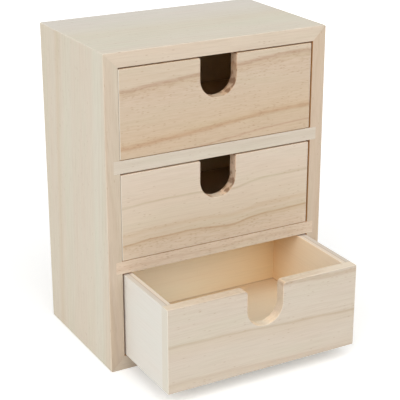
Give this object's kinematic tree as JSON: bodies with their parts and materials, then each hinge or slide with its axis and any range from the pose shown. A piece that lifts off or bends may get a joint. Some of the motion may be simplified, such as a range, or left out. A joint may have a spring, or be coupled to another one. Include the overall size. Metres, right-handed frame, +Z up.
{
  "type": "desktop mini drawers",
  "caption": "Small upright chest in plain unfinished wood, with flush drawers opened by half-round finger notches, for sorting craft supplies and small parts on a desk.",
  "frame": {"origin": "centre of the case's footprint, on the surface that the chest stands on", "axes": "+Z up; the drawers open towards -Y; +X is to the right of someone who faces the drawers"},
  "size_m": [0.15, 0.147, 0.2],
  "materials": {
    "case_side": "bare sanded paulownia, grain upright",
    "case_board": "bare sanded paulownia, grain across the width",
    "divider": "bare sanded paulownia, grain across the width",
    "top_front": "bare sanded paulownia with brown grain streaks",
    "middle_front": "bare sanded paulownia with pale grain",
    "bottom_front": "bare sanded paulownia with brown grain streaks",
    "drawer_ply": "bare sanded three-ply",
    "thin_ply": "bare thin plywood"
  },
  "bodies": {
    "case": {"top_board": "case_board", "bottom_board": "case_board", "left_side": "case_side", "right_side": "case_side", "upper_divider": "divider", "lower_divider": "divider", "back_panel": "thin_ply"},
    "bottom_drawer": {"bottom_drawer_front": "bottom_front", "bottom_drawer_left_side": "drawer_ply", "bottom_drawer_right_side": "drawer_ply", "bottom_drawer_back": "drawer_ply", "bottom_drawer_floor": "thin_ply"},
    "middle_drawer": {"middle_drawer_front": "middle_front", "middle_drawer_left_side": "drawer_ply", "middle_drawer_right_side": "drawer_ply", "middle_drawer_back": "drawer_ply", "middle_drawer_floor": "thin_ply"},
    "top_drawer": {"top_drawer_front": "top_front", "top_drawer_left_side": "drawer_ply", "top_drawer_right_side": "drawer_ply", "top_drawer_back": "drawer_ply", "top_drawer_floor": "thin_ply"}
  },
  "joints": [
    {"name": "bottom_drawer_slide", "type": "slide", "parent": "case", "child": "bottom_drawer", "axis": [0, -1, 0], "range_m": [-0.055, 0.02]},
    {"name": "middle_drawer_slide", "type": "slide", "parent": "case", "child": "middle_drawer", "axis": [0, -1, 0], "range_m": [0, 0.075]},
    {"name": "top_drawer_slide", "type": "slide", "parent": "case", "child": "top_drawer", "axis": [0, -1, 0], "range_m": [0, 0.075]}
  ]
}
